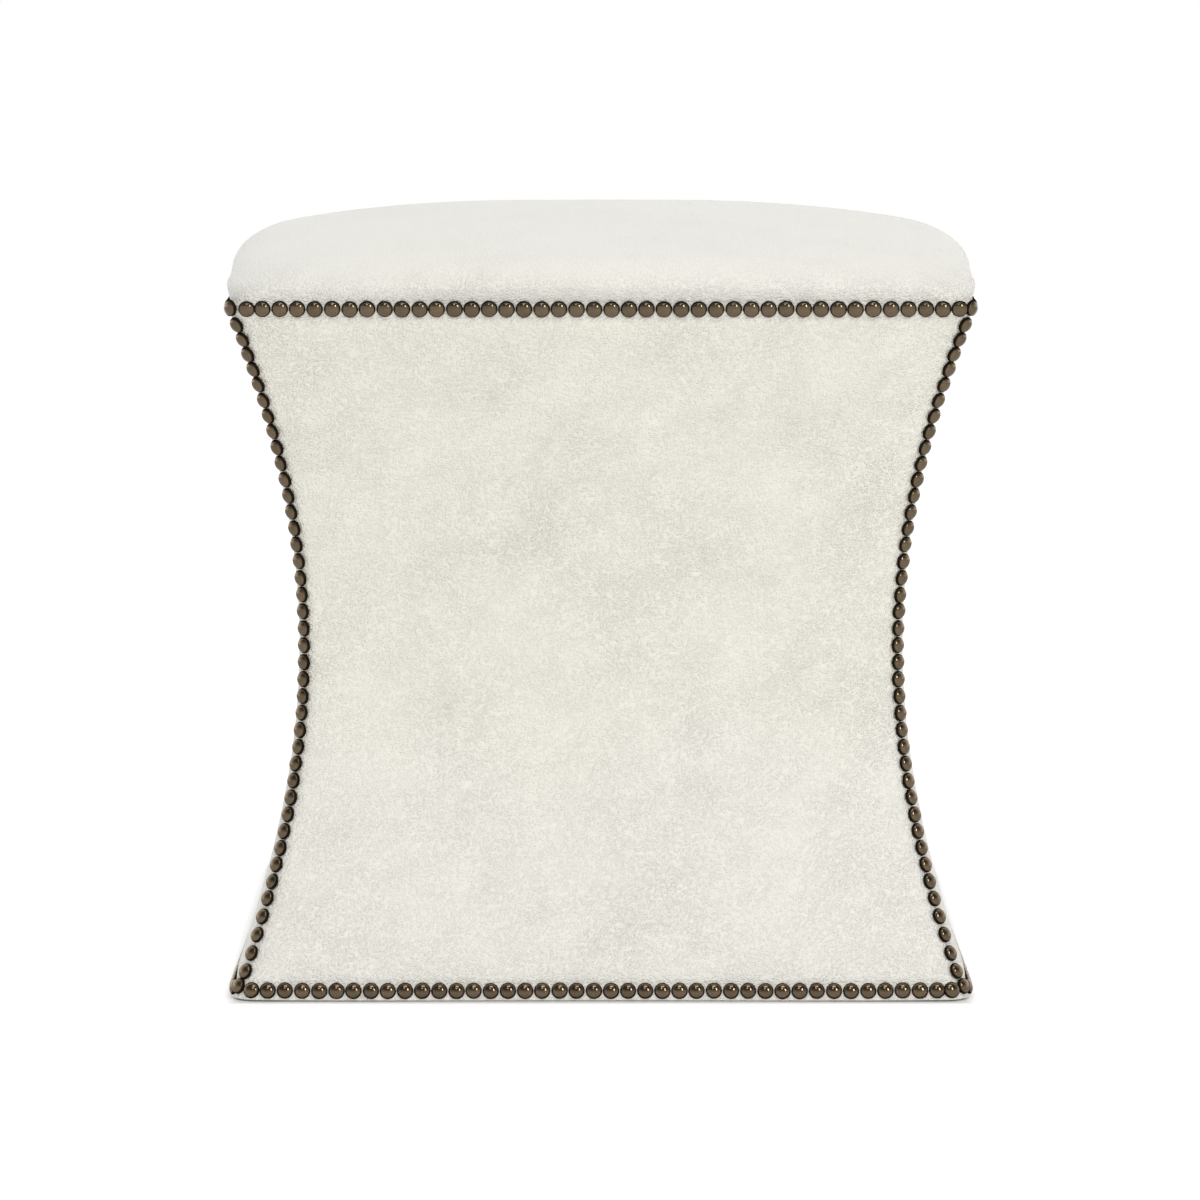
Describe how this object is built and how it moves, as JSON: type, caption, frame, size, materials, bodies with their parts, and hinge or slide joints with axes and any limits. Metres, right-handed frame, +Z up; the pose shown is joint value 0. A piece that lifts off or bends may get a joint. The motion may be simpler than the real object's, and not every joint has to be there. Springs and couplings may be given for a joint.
{
  "type": "upholstered footstool",
  "caption": "Square upholstered footstool with concave sides, a crowned seat and rows of domed nail heads; a low seat or foot rest on a wooden frame",
  "frame": {"origin": "on the floor, under the middle of the stool, at the bottom centre of the bounding box", "axes": "+Z up; the side named front faces -Y, and +X is to its right; all four sides are alike"},
  "size_m": [0.5, 0.5, 0.5063],
  "materials": {
    "leather": "satin",
    "aged_bronze": "satin",
    "frame_wood": "matte",
    "deck_plywood": "matte",
    "liner_board": "matte",
    "wadding": "matte",
    "seat_foam": "matte",
    "dust_cloth": "matte",
    "glide_plastic": "matte"
  },
  "bodies": {
    "root": {"base_rail_back": "frame_wood", "base_rail_front": "frame_wood", "base_rail_left": "frame_wood", "base_rail_right": "frame_wood", "corner_block_back_left": "frame_wood", "corner_block_back_right": "frame_wood", "corner_block_front_left": "frame_wood", "corner_block_front_right": "frame_wood", "corner_nails_back_left": "aged_bronze", "corner_nails_back_right": "aged_bronze", "corner_nails_front_left": "aged_bronze", "corner_nails_front_right": "aged_bronze", "corner_post_back_left": "frame_wood", "corner_post_back_right": "frame_wood", "corner_post_front_left": "frame_wood", "corner_post_front_right": "frame_wood", "dust_cover": "dust_cloth", "glide_back_left": "glide_plastic", "glide_back_right": "glide_plastic", "glide_front_left": "glide_plastic", "glide_front_right": "glide_plastic", "lower_nails_back": "aged_bronze", "lower_nails_front": "aged_bronze", "lower_nails_left": "aged_bronze", "lower_nails_right": "aged_bronze", "seat_cover": "leather", "seat_deck": "deck_plywood", "seat_foam": "seat_foam", "side_cover_back": "leather", "side_cover_front": "leather", "side_cover_left": "leather", "side_cover_right": "leather", "side_liner_back": "liner_board", "side_liner_front": "liner_board", "side_liner_left": "liner_board", "side_liner_right": "liner_board", "side_wadding_back": "wadding", "side_wadding_front": "wadding", "side_wadding_left": "wadding", "side_wadding_right": "wadding", "top_rail_back": "frame_wood", "top_rail_front": "frame_wood", "top_rail_left": "frame_wood", "top_rail_right": "frame_wood", "upper_nails_back": "aged_bronze", "upper_nails_front": "aged_bronze", "upper_nails_left": "aged_bronze", "upper_nails_right": "aged_bronze", "waist_rail_back": "frame_wood", "waist_rail_front": "frame_wood", "waist_rail_left": "frame_wood", "waist_rail_right": "frame_wood"}
  },
  "joints": []
}
